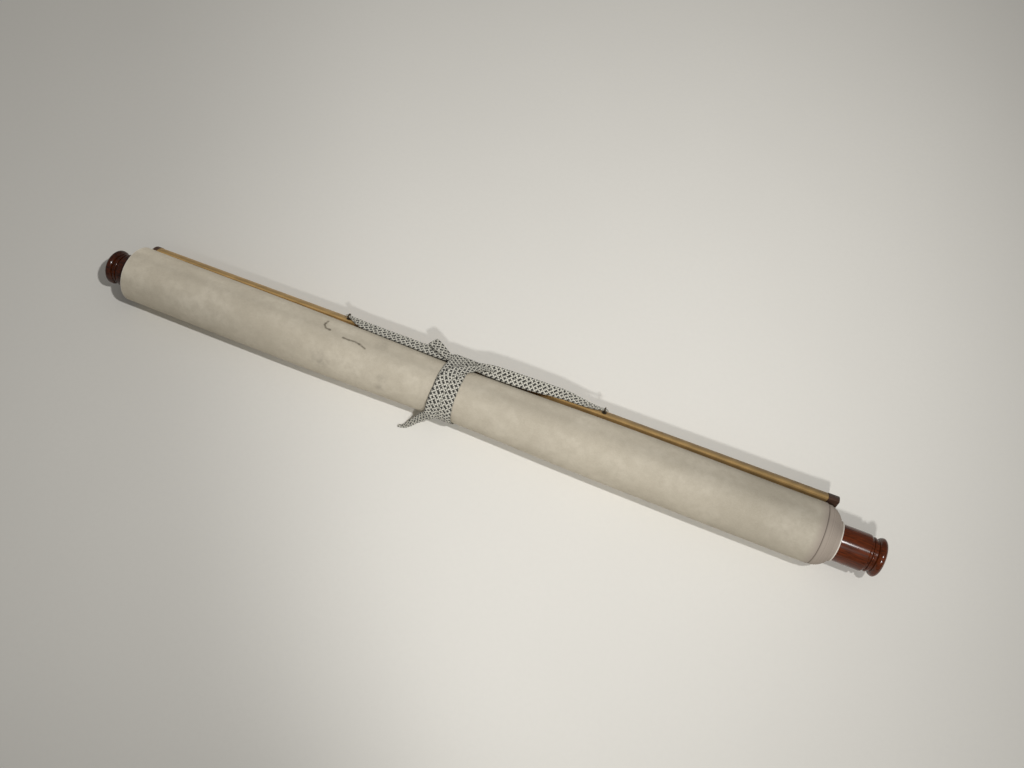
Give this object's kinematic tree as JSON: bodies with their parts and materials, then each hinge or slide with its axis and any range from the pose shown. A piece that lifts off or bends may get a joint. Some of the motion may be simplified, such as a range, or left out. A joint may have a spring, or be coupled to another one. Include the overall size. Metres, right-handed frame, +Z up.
{
  "type": "rolled hanging scroll",
  "caption": "Paper hanging scroll rolled on a wooden rod with turned end knobs, a half-round stave along its side and a braided tape tied round its middle.",
  "frame": {"origin": "on the table, under the middle of the wooden rod", "axes": "+X along the rod towards the knob that stands further out, +Y towards the stave's side, +Z up"},
  "size_m": [0.6166, 0.067, 0.0435],
  "materials": {
    "backing_paper": "matt handmade paper, slightly mottled",
    "rod_wood": "plain planed softwood",
    "knob_wood": "red-brown stain under glossy lacquer",
    "stave_cloth": "golden brown silk, fine twill",
    "patch_cloth": "dark brown silk",
    "eye_metal": "darkened brass",
    "braid": "flat braid, white with black dots"
  },
  "bodies": {
    "root": {"rolled_paper": "backing_paper", "roller_rod": "rod_wood", "left_knob": "knob_wood", "right_knob": "knob_wood", "top_stave": "rod_wood", "stave_cover": "stave_cloth", "left_end_patch": "patch_cloth", "right_end_patch": "patch_cloth", "left_eye": "eye_metal", "right_eye": "eye_metal", "left_eye_washer": "eye_metal", "right_eye_washer": "eye_metal", "hanging_tape": "braid", "winding_tape": "braid"}
  },
  "joints": []
}
